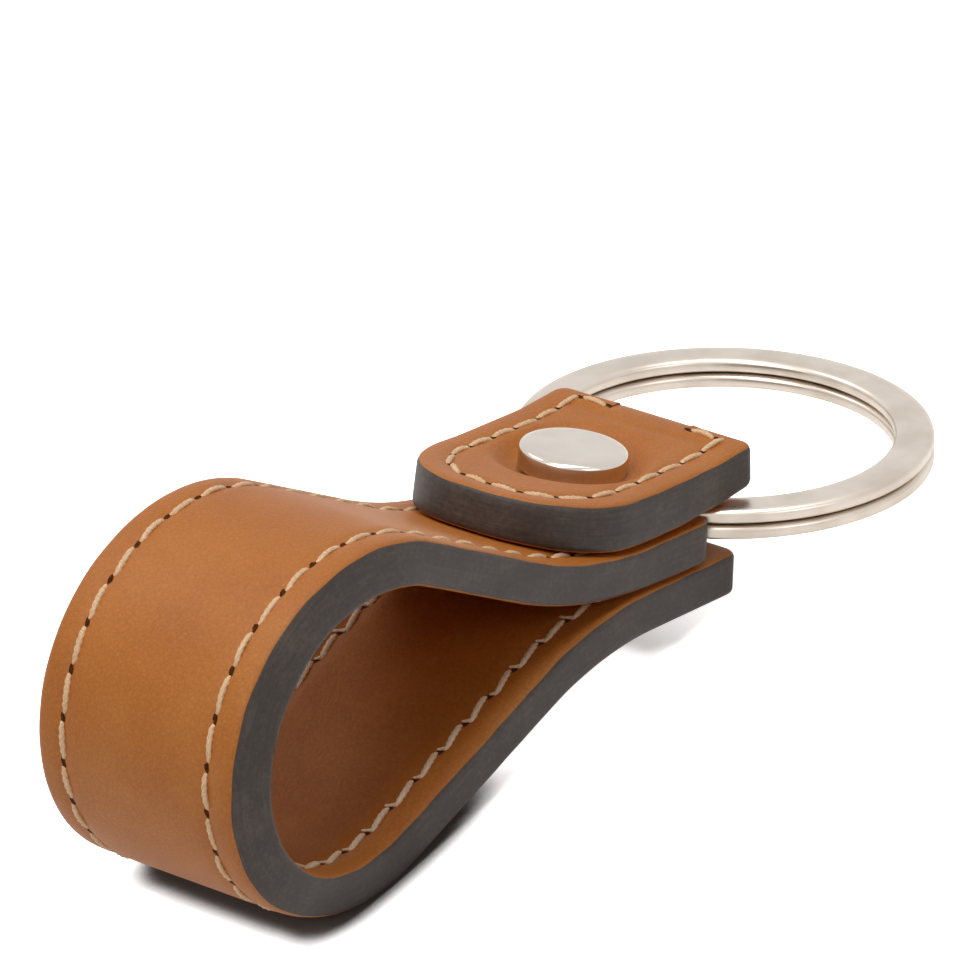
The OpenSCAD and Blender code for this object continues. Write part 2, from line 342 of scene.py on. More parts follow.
@dataclass(frozen=True)
class Nickel(Finish):
    """Nickel plate on steel wire or on a pressed cap.

    The eye gets a warm pale metal. Tumbled plate has a soft blur with faint
    hairlines, and polished plate mirrors what stands round it.
    """

    base: str = "#D6CBBF"
    dull: str = "#C9BDB0"
    roughness: Pair = (0.24, 0.36)
    hairline_mm: float = 0.3
    wave_mm: float = 4.0
    wave_height_mm: float = 0.004

    def shade(self, add: AddNode, space: Socket) -> bpy.types.Node:
        """Adds hairlines in the blur and the bump, and waves in the tone."""
        hairline, wave = (
            add("TexNoise", None, {"Scale": 1 / size, **detail}, {"Vector": space}).outputs["Fac"]
            for size, detail in (
                (self.hairline_mm, {"Detail": 4.0, "Roughness": 0.7}),
                (self.wave_mm, {"Detail": 2.0, "Roughness": 0.5}),
            )
        )
        tone = add("ValToRGB", links={"Fac": wave}, stops=((0.35, self.dull), (0.6, self.base)))
        low, high = self.roughness
        blur = add("MapRange", values={"To Min": low, "To Max": high}, links={"Value": hairline})
        depth = {"Strength": 0.5, "Distance": self.wave_height_mm * MM}
        bump = add("Bump", None, depth, {"Height": hairline})
        return add(
            "BsdfPrincipled",
            values={"Metallic": 1.0},
            links={
                "Base Color": tone.outputs["Color"],
                "Roughness": blur.outputs["Result"],
                "Normal": bump.outputs["Normal"],
            },
        )


@dataclass(frozen=True)
class FloorCard(Finish):
    """Matt white card under the object, glowing white, with a painted contact shadow.

    The eye gets a white ground with a tight dark shadow where the loop touches
    it. The photograph shows no shadow by the ring, so that end stays bright.
    """

    card: str = "#F2F1EF"
    shaded: str = "#7A7470"
    glow: float = 0.95
    mirrored_glow: float = 0.45
    contact_mm: float = 3.2
    open_share: Pair = (0.52, 0.8)
    ring_side_mm: Pair = (0.0, 14.0)

    def shade(self, add: AddNode, space: Socket) -> bpy.types.Node:
        """Adds a card that is whiter where open and painted dark where occluded, and its glow to
        the camera.
        """
        path = add("LightPath").outputs
        reach = {"Distance": self.contact_mm * MM}
        # Painted shadow: where ambient occlusion is low, the card turns to its shaded colour and
        # loses its glow, on top of the lamps' own shadow.
        occlusion = add("AmbientOcclusion", {"samples": 16}, reach).outputs["AO"]
        # Painted light: from the ring's side on, the card stays bright, so no shadow shows by the
        # ring.
        along = add("SeparateXYZ", links={"Vector": space}).outputs["X"]
        open_sky, ring_side = (
            add("MapRange", None, {"From Min": low, "From Max": high}, {"Value": value})
            for value, (low, high) in ((occlusion, self.open_share), (along, self.ring_side_mm))
        )
        either = {0: open_sky.outputs["Result"], 1: ring_side.outputs["Result"]}
        bright = add("Math", {"operation": "MAXIMUM"}, links=either).outputs["Value"]
        whites = {TINT_A: linear(self.card), TINT_B: linear(WHITE)}
        card = add("Mix", TINT, whites, {"Factor": path["Is Camera Ray"]})
        lit = {"Factor": bright, TINT_B: card.outputs[TINT_OUT]}
        colour = add("Mix", TINT, {TINT_A: linear(self.shaded)}, lit).outputs[TINT_OUT]
        diffuse = add("BsdfDiffuse", values={"Roughness": 0.9}, links={"Color": colour})
        product = {"operation": "MULTIPLY"}
        mirrored = add("Math", product, {1: self.mirrored_glow}, {0: path["Is Glossy Ray"]})
        seen = {"Factor": path["Is Camera Ray"], MIX_A: mirrored.outputs["Value"]}
        glow = add("Mix", None, {MIX_B: self.glow}, seen).outputs[MIX_OUT]
        strength = add("Math", product, links={0: glow, 1: bright}).outputs["Value"]
        light = add("Emission", None, {"Color": linear(WHITE)}, {"Strength": strength})
        return add("AddShader", links={0: diffuse.outputs["BSDF"], 1: light.outputs["Emission"]})


@dataclass(frozen=True)
class Finishes:
    """The object's materials, made once."""

    face: bpy.types.Material
    lining: bpy.types.Material
    paint: bpy.types.Material
    thread: bpy.types.Material
    inner_thread: bpy.types.Material
    hole: bpy.types.Material
    ring: bpy.types.Material
    cap: bpy.types.Material

    @classmethod
    def make(cls) -> Finishes:
        """Makes every material."""
        # Painted shade: the lining's calf is a little darker and more saturated than the face's,
        # with less sheen, for the inside of the loop.
        inner = {"deep": "#A15A1D", "base": "#AE6825", "light": "#B97735", "pore": "#764216"}
        # Painted light: the thread on the lining's side is a lighter copy, lifted against the shade
        # inside the loop.
        painted_light = {"crease": "#DDBB92", "base": "#F6DEBD", "bright": "#FFF1DA"}
        polish = {"base": "#D6CDC3", "dull": "#CFC5BA", "roughness": (0.12, 0.18)}
        return cls(
            face=CalfLeather("calf_grain_side").material(),
            lining=CalfLeather("calf_lining_painted_shade", **inner, sheen=0.26).material(),
            paint=EdgePaint("edge_paint_rolled").material(),
            thread=WaxedThread("waxed_thread").material(),
            inner_thread=WaxedThread("waxed_thread_unworn", **painted_light).material(),
            hole=AwlHoleShade("awl_hole_painted_shade").material(),
            ring=Nickel("nickel_tumbled").material(),
            cap=Nickel("nickel_polished", **polish, wave_height_mm=0.0002).material(),
        )


# ---------------------------------------------------------------- side paths


@dataclass(frozen=True)
class Leg:
    """One run of a path seen from the side: straight, or an arc."""

    length: float = 0.0
    radius: float = 0.0
    turn: float = 0.0

    @property
    def reach(self) -> float:
        """Length along the leg."""
        return self.length if self.turn == 0 else self.radius * math.radians(abs(self.turn))


def straight(length: float) -> Leg:
    """A straight leg."""
    return Leg(length=length)


def arc(radius: float, turn: float) -> Leg:
    """An arc that turns by so many degrees, left if positive."""
    return Leg(radius=radius, turn=turn)


@dataclass(frozen=True)
class SidePath:
    """A path of legs in the strap's own side view, x to the ring and z up."""

    start: Triple
    legs: tuple[Leg, ...]

    @property
    def length(self) -> float:
        """Whole length of the path."""
        return sum(leg.reach for leg in self.legs)

    def end(self) -> Triple:
        """Place and heading, in degrees, at the path's end."""
        x, z, heading = self.at(np.array([self.length]))
        return float(x[0]), float(z[0]), float(np.degrees(heading[0]))

    def at(self, s: np.ndarray) -> tuple[np.ndarray, np.ndarray, np.ndarray]:
        """Finds the path at distances from its start.

        Args:
            s: Distances, which may lie past either end.

        Returns:
            Arrays of x, z and the heading in radians.
        """
        s = np.asarray(s, float)
        px, pz, ph, begin = *self.start[:2], math.radians(self.start[2]), 0.0
        x, z, h = (np.full(s.shape, v, float) for v in (px, pz, ph))
        last = len(self.legs) - 1
        for i, leg in enumerate(self.legs):
            inside = ((s >= begin) | (i == 0)) & ((s < begin + leg.reach) | (i == last))
            for mask, d in ((inside, s - begin), (None, np.array(leg.reach))):
                if leg.turn == 0:
                    nx, nz, nh = px + d * math.cos(ph), pz + d * math.sin(ph), ph + 0 * d
                else:
                    k = math.copysign(1, leg.turn)
                    nh = ph + k * d / leg.radius
                    nx = px + k * leg.radius * (np.sin(nh) - math.sin(ph))
                    nz = pz - k * leg.radius * (np.cos(nh) - math.cos(ph))
                if mask is not None:
                    x, z, h = (np.where(mask, n, o) for n, o in ((nx, x), (nz, z), (nh, h)))
            px, pz, ph, begin = float(nx), float(nz), float(nh), begin + leg.reach
        return x, z, h


@dataclass(frozen=True)
class Sizes:
    """Driving sizes of the solids, and what follows from them."""

    strap_w: float = 20.0
    ply_t: float = 1.9
    end_run: float = 11.4
    dip_r: float = 33.0
    lower_angle: float = 24.0
    end_step: float = 3.9
    loop_low: Pair = (17.3, 50.0)
    loop_side: Pair = (14.4, 120.0)
    loop_top_r: float = 18.7
    upper_angle: float = 23.0
    clamp_r: float = 42.0
    clamp_back: float = 7.2
    tab_len: float = 25.6
    tab_reach: float = 5.5
    tab_lift: float = 0.8
    tab_angle: float = 5.0
    tab_bend_r: float = 30.0
    tab_corner_r: float = 9.3
    tip_gap: float = 0.1
    rivet_back: float = 6.0
    neck_w: float = 7.0
    neck_t: float = 1.2
    neck_run: float = 4.0
    slit_w: float = 0.3
    skive: float = 0.1
    layer_gap: float = 0.1
    ring_od: float = 35.0
    wire_w: float = 3.3
    wire_h: float = 1.3
    turn_gap: float = 0.1
    wire_round: float = 0.4
    ring_seat: float = 1.65
    ring_inset: float = 2.7
    ring_gap: float = 0.35
    climb_angle: float = 36.0
    cap_d: float = 9.0
    cap_h: float = 1.5
    cap_press: float = 0.7
    press_run: float = 2.0
    back_h: float = 0.9
    back_d: float = 8.5
    back_press: float = 0.1
    row_inset: float = 2.6
    turn_inset: float = 1.3

    @property
    def strap_t(self) -> float:
        """Thickness of the two plies."""
        return 2 * self.ply_t

    @property
    def level_z(self) -> float:
        """Height of the plies' joint where the strap comes back level."""
        return self.ply_t + self.strap_t + self.layer_gap

    @property
    def stack_z(self) -> float:
        """Top of the two stacked layers."""
        return 2 * self.strap_t + self.layer_gap

    @property
    def neck_z(self) -> float:
        """Underside of the neck."""
        return self.strap_t + self.layer_gap

    @property
    def rivet_x(self) -> float:
        """Place of the rivet's axis."""
        return -self.rivet_back

    @property
    def ring_mid_r(self) -> float:
        """Radius at the middle of the wire."""
        return (self.ring_od - self.wire_w) / 2

    def strap_path(self) -> SidePath:
        """The strap's path along the joint of its plies, from its plain end."""
        start = (self.end_step, self.ply_t, 180.0)
        first = (straight(self.end_run), arc(self.dip_r + self.ply_t, self.lower_angle))
        top_turn = 180 + self.lower_angle - self.loop_low[1] - self.loop_side[1] + self.upper_angle
        loop = (
            arc(self.loop_low[0] - self.ply_t, -self.loop_low[1]),
            arc(self.loop_side[0] - self.ply_t, -self.loop_side[1]),
            arc(self.loop_top_r - self.ply_t, -top_turn),
        )
        clamp_i = self.clamp_r + self.ply_t
        up = math.radians(self.upper_angle)
        low = math.radians(180 + self.lower_angle)
        x, z, _ = SidePath(start, first + loop).end()
        far_run = -self.clamp_back - clamp_i * math.sin(up) - x
        fall = z - self.level_z - clamp_i * (1 - math.cos(up))
        lower = (fall * math.cos(up) - far_run * math.sin(up)) / math.sin(low + up - math.pi)
        upper = (fall + lower * math.sin(low)) / math.sin(up)
        last = (straight(upper), arc(clamp_i, self.upper_angle), straight(self.clamp_back))
        return SidePath(start, first + (straight(lower),) + loop + last)

    def tab_bend(self) -> tuple[float, float, float, float]:
        """The tab's rise angle, and its bend's inner radius and upper end."""
        angle = math.radians(self.tab_angle)
        bend_i = self.tab_bend_r - self.ply_t
        bend_x = self.rivet_x + self.cap_d / 2 + bend_i * math.sin(angle)
        joint_z = self.stack_z + self.tab_lift + self.ply_t
        return angle, bend_i, bend_x, joint_z + bend_i * (1 - math.cos(angle))

    def tab_path(self) -> SidePath:
        """The tab's path along the joint of its plies, from its ring end."""
        angle, bend_i, bend_x, bend_z = self.tab_bend()
        rise_run = (self.tab_reach - bend_x) / math.cos(angle)
        start_z = bend_z + (self.tab_reach - bend_x) * math.tan(angle)
        tip_run = -self.clamp_back - (self.tab_reach - self.tab_len)
        tip_rise = self.clamp_r - math.sqrt(self.clamp_r**2 - tip_run**2)
        tip_rise += self.tip_gap - self.tab_lift
        clamp_i = (tip_run**2 + tip_rise**2) / (2 * tip_rise) - self.ply_t
        legs = (
            straight(rise_run),
            arc(bend_i, -self.tab_angle),
            straight(self.rivet_x + self.cap_d / 2 + self.clamp_back),
            arc(clamp_i, -self.upper_angle),
        )
        return SidePath((self.tab_reach, start_z, 180 + self.tab_angle), legs)

    def neck_path(self) -> SidePath:
        """The neck's path along its underside, from under the ring."""
        angle, _, bend_x, bend_z = self.tab_bend()
        top_z = bend_z + self.ply_t / math.cos(angle) + (self.neck_run - bend_x) * math.tan(angle)
        fold_r = (top_z - self.neck_z) * math.cos(angle) / (1 + math.cos(angle))
        back_x = -2 * self.ring_inset
        fold = arc(fold_r, 180 + self.tab_angle)
        legs = (straight(self.neck_run - back_x), fold, straight(self.ply_t))
        return SidePath((back_x, self.neck_z, 0.0), legs)


@dataclass(frozen=True)
class RestPose:
    """How the strap and the ring rest on a level floor."""

    sizes: Sizes

    def _after(self, legs: int) -> Triple:
        """Place and heading after so many of the strap's legs."""
        path = self.sizes.strap_path()
        return SidePath(path.start, path.legs[:legs]).end()

    def _arc_centre(self, legs: int, radius: float) -> Pair:
        """Centre of the right-hand arc that follows so many legs."""
        x, z, heading = self._after(legs)
        turn = math.radians(heading)
        return x + radius * math.sin(turn), z - radius * math.cos(turn)

    @property
    def tilt(self) -> float:
        """Angle that tips the strap onto the floor, in radians."""
        s = self.sizes
        cx, cz = self._arc_centre(3, s.loop_low[0] - s.ply_t)
        reach = math.hypot(cx - s.end_step, cz)
        return math.atan2(cz, cx - s.end_step) + math.asin(s.loop_low[0] / reach) - math.pi

    @property
    def floor_z(self) -> float:
        """Height of the floor under the tipped strap."""
        return -self.sizes.end_step * math.sin(self.tilt)

    @property
    def hinge(self) -> Pair:
        """Place of the wire's middle under the neck's fold, along and up."""
        s = self.sizes
        x = -s.ring_inset + s.wire_w / 2
        z = s.neck_z + s.neck_t + s.ring_seat
        c, n = math.cos(self.tilt), math.sin(self.tilt)
        return x * c + z * n, z * c - x * n - self.floor_z

    @property
    def _far(self) -> Pair:
        """The ring's far lower corner, seen from the hinge."""
        s = self.sizes
        height = 2 * s.wire_h + s.turn_gap
        return s.ring_mid_r + s.ring_od / 2 - s.wire_round, height / 2 - s.wire_round

    @property
    def ring_lie(self) -> float:
        """The ring's slope to the floor, in radians."""
        x, z = self._far
        up = self.hinge[1] - self.sizes.wire_round
        return math.atan2(z, x) - math.asin(up / math.hypot(x, z))

    @property
    def centre_x(self) -> float:
        """Middle of the object's length."""
        s = self.sizes
        x, z = self._far
        lie = self.ring_lie
        right = self.hinge[0] + x * math.cos(lie) + z * abs(math.sin(lie)) + s.wire_round
        cx, cz = self._arc_centre(4, s.loop_side[0] - s.ply_t)
        left = cx * math.cos(self.tilt) + cz * math.sin(self.tilt) - s.loop_side[0]
        return (right + left) / 2

    def strap_matrix(self) -> Matrix:
        """From the strap's own side view, in millimetres, to the frame, in metres."""
        move = Matrix.Translation((-self.centre_x, 0, -self.floor_z))
        return Matrix.Scale(MM, 4) @ move @ Matrix.Rotation(self.tilt, 4, "Y")

    def ring_matrix(self) -> Matrix:
        """From the ring's own axes, in millimetres, to the frame, in metres."""
        along, up = self.hinge
        move = Matrix.Translation((along - self.centre_x, 0, up))
        turn = Matrix.Rotation(-self.ring_lie, 4, "Y")
        return Matrix.Scale(MM, 4) @ move @ turn @ Matrix.Translation((self.sizes.ring_mid_r, 0, 0))


# ---------------------------------------------------------------- mesh code


@dataclass
class Sketch:
    """Points and faces gathered for one mesh, in millimetres."""

    points: list[np.ndarray] = field(default_factory=list)
    runs: list[np.ndarray] = field(default_factory=list)
    faces: list[tuple[int, ...]] = field(default_factory=list)
    slots: list[int] = field(default_factory=list)
    count: int = 0

    def add_points(self, points: np.ndarray, run: np.ndarray | None = None) -> np.ndarray:
        """Adds points.

        Args:
            points: Array whose last axis is x, y, z.
            run: Distances along and across an edge, for its streaks, or nothing.

        Returns:
            Their numbers, in the array's shape.
        """
        flat = points.reshape(-1, 3)
        numbers = np.arange(self.count, self.count + len(flat)).reshape(points.shape[:-1])
        self.points.append(flat)
        self.runs.append(np.zeros((len(flat), 2)) if run is None else run.reshape(-1, 2))
        self.count += len(flat)
        return numbers

    def add_quads(self, grid: np.ndarray, slot: int = 0, wrap: bool = False) -> None:
        """Joins a grid of point numbers by quads.

        Args:
            grid: Rows of point numbers.
            slot: Material slot of the faces.
            wrap: True if each row closes on itself.
        """
        rows, columns = grid.shape
        for i in range(rows - 1):
            for j in range(columns if wrap else columns - 1):
                k = (j + 1) % columns
                self.faces.append((grid[i, j], grid[i, k], grid[i + 1, k], grid[i + 1, j]))
                self.slots.append(slot)

    def add_cap(self, ring: np.ndarray, slot: int = 0) -> None:
        """Closes a ring of points with one face."""
        self.faces.append(tuple(int(n) for n in ring))
        self.slots.append(slot)

    def add_tube(self, rings: np.ndarray, slot: int = 0) -> None:
        """Adds a closed tube.

        Args:
            rings: Rings of points, from one end to the other.
            slot: Material slot of the faces.
        """
        grid = self.add_points(rings)
        self.add_quads(grid, slot, wrap=True)
        self.add_cap(grid[0][::-1], slot)
        self.add_cap(grid[-1], slot)

    def build(self, name: str, matrix: Matrix, materials: Look) -> Piece:
        """Makes the object, smooth and with its faces turned outwards.

        Args:
            name: Name of the piece.
            matrix: From millimetres to the frame.
            materials: Its material slots.

        Returns:
            The new object.
        """
        mesh = bpy.data.meshes.new(name)
        points = np.concatenate(self.points)
        mesh.from_pydata(points.tolist(), [], [tuple(int(n) for n in f) for f in self.faces])
        mesh.transform(matrix)
        for material in materials:
            mesh.materials.append(material)
        mesh.polygons.foreach_set("material_index", self.slots)
        corners = np.empty(len(mesh.loops), np.int32)
        mesh.loops.foreach_get("vertex_index", corners)
        runs = np.concatenate(self.runs)[corners]
        mesh.uv_layers.new(name=RUN_MAP).data.foreach_set("uv", runs.ravel())
        work = bmesh.new()
        work.from_mesh(mesh)
        bmesh.ops.recalc_face_normals(work, faces=work.faces)
        for face in work.faces:
            face.smooth = True
        work.to_mesh(mesh)
        work.free()
        mesh.set_sharp_from_angle(angle=SHARP_ANGLE)
        piece = bpy.data.objects.new(name, mesh)
        bpy.context.scene.collection.objects.link(piece)
        return piece


def cut_away(piece: Piece, cutter: Piece) -> None:
    """Cuts a closed mesh out of a piece and removes it.

    Args:
        piece: The piece that is cut.
        cutter: The closed mesh.
    """
    cut = piece.modifiers.new("cut", "BOOLEAN")
    cut.operation = "DIFFERENCE"
    cut.solver = "EXACT"
    cut.object = cutter
    graph = bpy.context.evaluated_depsgraph_get()
    done = bpy.data.meshes.new_from_object(piece.evaluated_get(graph))
    done.set_sharp_from_angle(angle=SHARP_ANGLE)
    piece.modifiers.clear()
    old = piece.data
    piece.data = done
    bpy.data.meshes.remove(old)
    bpy.data.objects.remove(cutter)


def plug(outline: np.ndarray, low: float, high: float, matrix: Matrix) -> Piece:
    """Makes an upright plug to cut with.

    Args:
        outline: Points x, y of its outline.
        low: Height of its foot.
        high: Height of its top.
        matrix: From millimetres to the frame.

    Returns:
        The cutter.
    """
    rings = [[(x, y, z) for x, y in outline] for z in (low, high)]
    sketch = Sketch()
    sketch.add_tube(np.array(rings))
    return sketch.build("cutter", matrix, [])


# ---------------------------------------------------------------- leather


def unit(vectors: np.ndarray) -> np.ndarray:
    """Scales vectors to length one."""
    return vectors / np.linalg.norm(vectors, axis=1)[:, None]


def round_turn(step: float) -> np.ndarray:
    """Angles of a whole turn, in radians, so many degrees apart."""
    return np.radians(np.arange(0, 360, step))


def smooth(value: np.ndarray, low: float, high: float) -> np.ndarray:
    """Rises smoothly from 0 at one value to 1 at another.

    Args:
        value: Where the rise is looked up.
        low: Where it starts.
        high: Where it ends.

    Returns:
        Shares from 0 to 1.
    """
    t = np.clip((value - low) / (high - low), 0, 1)
    return t * t * (3 - 2 * t)


@dataclass(frozen=True)
class Plan:
    """Outline of a ply laid flat: s runs along it, y across it."""

    length: float
    half_w: float
    corner_start: float
    corner_end: float
    corner_density: float = 1.4

    def stations(self, pitch: float) -> tuple[np.ndarray, np.ndarray, np.ndarray]:
        """Finds stations along both sides, corners included.

        Args:
            pitch: Distance between stations.

        Returns:
            Distances, half widths there, and the outline's slope angle.
        """
        out: list[Triple] = []
        for corner, flip in ((self.corner_start, False), (self.corner_end, True)):
            steps = max(4, int(corner * math.pi / 2 / pitch * self.corner_density))
            turn = np.linspace(0, math.pi / 2, steps + 1)
            s = corner * (1 - np.cos(turn))
            w = self.half_w - corner + corner * np.sin(turn)
            rows = list(zip(s, w, turn))
            if flip:
                rows = [(self.length - a, b, math.pi - c) for a, b, c in reversed(rows)]
                run = out[-1][0], rows[0][0]
                count = max(1, round((run[1] - run[0]) / pitch))
                middle = np.linspace(*run, count + 1)[1:-1]
                out += [(float(m), self.half_w, math.pi / 2) for m in middle]
            out += rows
        table = np.array(out)
        return table[:, 0], table[:, 1], table[:, 2]

    def depth(self, s: np.ndarray, y: np.ndarray) -> np.ndarray:
        """Distance of plan points from the outline, positive inside.

        Args:
            s: Distances along the ply.
            y: Distances across it.

        Returns:
            Distances from the nearest edge.
        """
        near_start = s < self.length / 2
        corner = np.where(near_start, self.corner_start, self.corner_end)
        along = np.where(near_start, s, self.length - s) - corner
        across = self.half_w - np.abs(y) - corner
        both = (along < 0) & (across < 0)
        round_in = corner - np.hypot(along, across)
        return np.where(both, round_in, np.minimum(along, across) + corner)


@dataclass(frozen=True)
class Relief:
    """Small shapes pressed into a ply's face."""

    row_inset: float
    turn_inset: float
    open_y: float = 0.0
    groove_depth: float = 0.2
    groove_w: float = 0.6
    edge_roll: float = 0.1
    roll_w: float = 0.8
    dish: tuple[float, float, float, float] | None = None

    def height(self, plan: Plan, s: np.ndarray, y: np.ndarray) -> np.ndarray:
        """Height of the face over its plain surface.

        Args:
            plan: The ply's outline.
            s: Distances along the ply.
            y: Distances across it.

        Returns:
            Heights in millimetres, mostly negative.
        """
        depth = plan.depth(s, y)
        to_row = np.minimum(depth, plan.half_w - np.abs(y))
        near = s < plan.length / 2
        to_row = np.where(near, np.minimum(to_row, s + self.row_inset - self.turn_inset), depth)
        closed = np.clip((np.abs(y) - self.open_y) / self.roll_w, 0, 1)
        closed = np.where(s < self.row_inset, closed, 1.0)
        off_row = (to_row - self.row_inset) / self.groove_w
        groove = -self.groove_depth * closed * np.exp(-(off_row**2))
        roll = -self.edge_roll * closed * np.exp(-np.maximum(depth, 0) / self.roll_w)
        out = groove + roll
        if self.dish:
            place, inner, outer, deep = self.dish
            reach = smooth(np.hypot(s - place, y), inner, outer)
            out = out * reach - deep * (1 - reach)
        return out


@dataclass(frozen=True)
class HandBend:
    """How the bent strap differs from a plain band.

    Leather that is bent hard spreads sideways on its inner face and draws in on
    its outer one, and the lower run is twisted, so its far edge stands higher.
    Ranges are distances along the path, over which each effect comes or goes.
    """

    spread: float = 0.45
    neutral: float = 0.9
    average: float = 3.0
    spread_from: Pair = (47.0, 60.0)
    lift: float = 2.2
    rise: Pair = (12.0, 25.0)
    fall: Pair = (28.0, 58.0)

    def width(self, path: SidePath, s: np.ndarray, out: np.ndarray) -> np.ndarray:
        """Factor on the width.

        Args:
            path: Path of the plies' joint.
            s: Distances along it.
            out: Distances from it, outwards of the loop.

        Returns:
            Factors near one.
        """
        ahead, behind = (path.at(s + d)[2] for d in (self.average, -self.average))
        bend = (ahead - behind) / (2 * self.average)
        return 1 + self.spread * smooth(s, *self.spread_from) * bend * (out - self.neutral)

    def raised(self, s: np.ndarray, share: np.ndarray) -> np.ndarray:
        """How far a point stands inwards of the plain band.

        Args:
            s: Distances along the path.
            share: Place across the strap, 0 at the near edge and 1 at the far one.

        Returns:
            Distances in millimetres.
        """
        return self.lift * smooth(s, *self.rise) * (1 - smooth(s, *self.fall)) * share


# Rolled edge of a ply: inset and share of its thickness, painted on four bands
EDGE_RINGS = (
    (0.0, 0.0),
    (0.0, 0.4),
    (0.0, 0.7),
    (0.04, 0.82),
    (0.12, 0.91),
    (0.26, 0.965),
    (0.5, 0.99),
    (0.85, 1.0),
)
PAINTED_RINGS = 4
PRESSED_FROM = 0.8

# The paint's edge wavers: waves per millimetre, share of thickness and inset
PAINT_WAVES = (0.3, 0.8, 1.5)
PAINT_WAVER = (0.018, 0.05)


@dataclass(frozen=True)
class Ply:
    """One ply of leather bent along a path, its edges painted."""

    path: SidePath
    plan: Plan
    side: int
    thickness: float
    relief: Relief
    bend: HandBend | None = None
    swell: Table = ((0.0, 0.0),)
    pitch: float = 0.6
    across_pitch: float = 0.45

    def place(self, s: np.ndarray, y: np.ndarray, offset: np.ndarray) -> np.ndarray:
        """Turns plan points into points of the strap's side view.

        Args:
            s: Distances along the ply.
            y: Distances across it.
            offset: Distances from the plies' joint, outwards.

        Returns:
            Array of points.
        """
        x, z, h = self.path.at(s)
        out = self.side * offset
        if self.bend:
            share = (y / self.plan.half_w + 1) / 2
            y = y * self.bend.width(self.path, s, out)
            out = out - self.bend.raised(s, share)
        return np.stack([x - out * np.sin(h), y + 0 * x, z + out * np.cos(h)], -1)

    def girth(self, s: np.ndarray) -> np.ndarray:
        """Thickness of the ply along it."""
        return self.thickness + np.interp(s, *zip(*self.swell))

    def face_point(self, s: np.ndarray, y: np.ndarray, lift: np.ndarray) -> np.ndarray:
        """Points over the ply's pressed face by so much."""
        return self.place(s, y, self.girth(s) + self.relief.height(self.plan, s, y) + lift)

    def sketch(self, sketch: Sketch, leather: int, paint: int) -> None:
        """Adds the ply's closed surface.

        Args:
            sketch: What gets the points and faces.
            leather: Material slot of the leather.
            paint: Material slot of the painted edge.
        """
        s, w, slope = self.plan.stations(self.pitch)
        columns = int(2 * self.plan.half_w / self.across_pitch)
        share = np.linspace(-1, 1, columns + 1)
        ends = np.zeros(columns - 1)
        rim_s = np.concatenate([s, ends + s[-1], s[::-1], ends + s[0]])
        rim_y = np.concatenate([-w, share[1:-1] * w[-1], w[::-1], share[::-1][1:-1] * w[0]])
        rim_n = np.concatenate([-np.cos(slope), ends + 1, -np.cos(slope[::-1]), ends - 1])
        rim_m = np.concatenate([-np.sin(slope), ends, np.sin(slope[::-1]), ends])
        rings = []
        step = np.hypot(np.diff(rim_s, append=rim_s[0]), np.diff(rim_y, append=rim_y[0]))
        run = np.cumsum(step) - step
        waver = sum(np.sin(run * k + 2 * k) for k in PAINT_WAVES) / len(PAINT_WAVES)
        for k, (inset, rise) in enumerate(EDGE_RINGS[:-1]):
            if k == PAINTED_RINGS:
                rise, inset = rise + PAINT_WAVER[0] * waver, inset + PAINT_WAVER[1] * waver
            a, b = rim_s - inset * rim_n, rim_y - inset * rim_m
            drop = self.relief.height(self.plan, a, b) * (np.max(rise) > PRESSED_FROM)
            up = rise * self.girth(rim_s)
            streaks = np.stack([run, self.side * up + 0 * run], -1)
            rings.append(sketch.add_points(self.place(a, b, up + drop), streaks))
        inset = EDGE_RINGS[-1][0]
        grid_s = np.repeat((s + inset * np.cos(slope))[:, None], columns + 1, 1)
        grid_y = (w - inset * np.sin(slope))[:, None] * share[None, :]
        face = sketch.add_points(self.face_point(grid_s, grid_y, 0 * grid_s))
        rim = np.concatenate([face[:, 0], face[-1, 1:-1], face[::-1, -1], face[0, ::-1][1:-1]])
        rings.append(rim)
        for k in range(len(rings) - 1):
            slot = paint if k < PAINTED_RINGS else leather
            sketch.add_quads(np.stack([rings[k], rings[k + 1]]), slot, wrap=True)
        sketch.add_quads(face, leather)
        base_s = np.repeat(s[:, None], columns + 1, 1)[:, 1:-1]
        base_y = w[:, None] * share[None, 1:-1]
        inner = sketch.add_points(self.place(base_s[1:-1], base_y[1:-1], 0 * base_s[1:-1]))
        outer = rings[0]
        n, m = len(s), columns - 1
        front, far = outer[:n], outer[n : n + m]
        back, near = outer[n + m : 2 * n + m][::-1], outer[2 * n + m :][::-1]
        middle = np.concatenate([near[None, :], inner, far[None, :]])
        sketch.add_quads(np.concatenate([front[:, None], middle, back[:, None]], 1), leather)


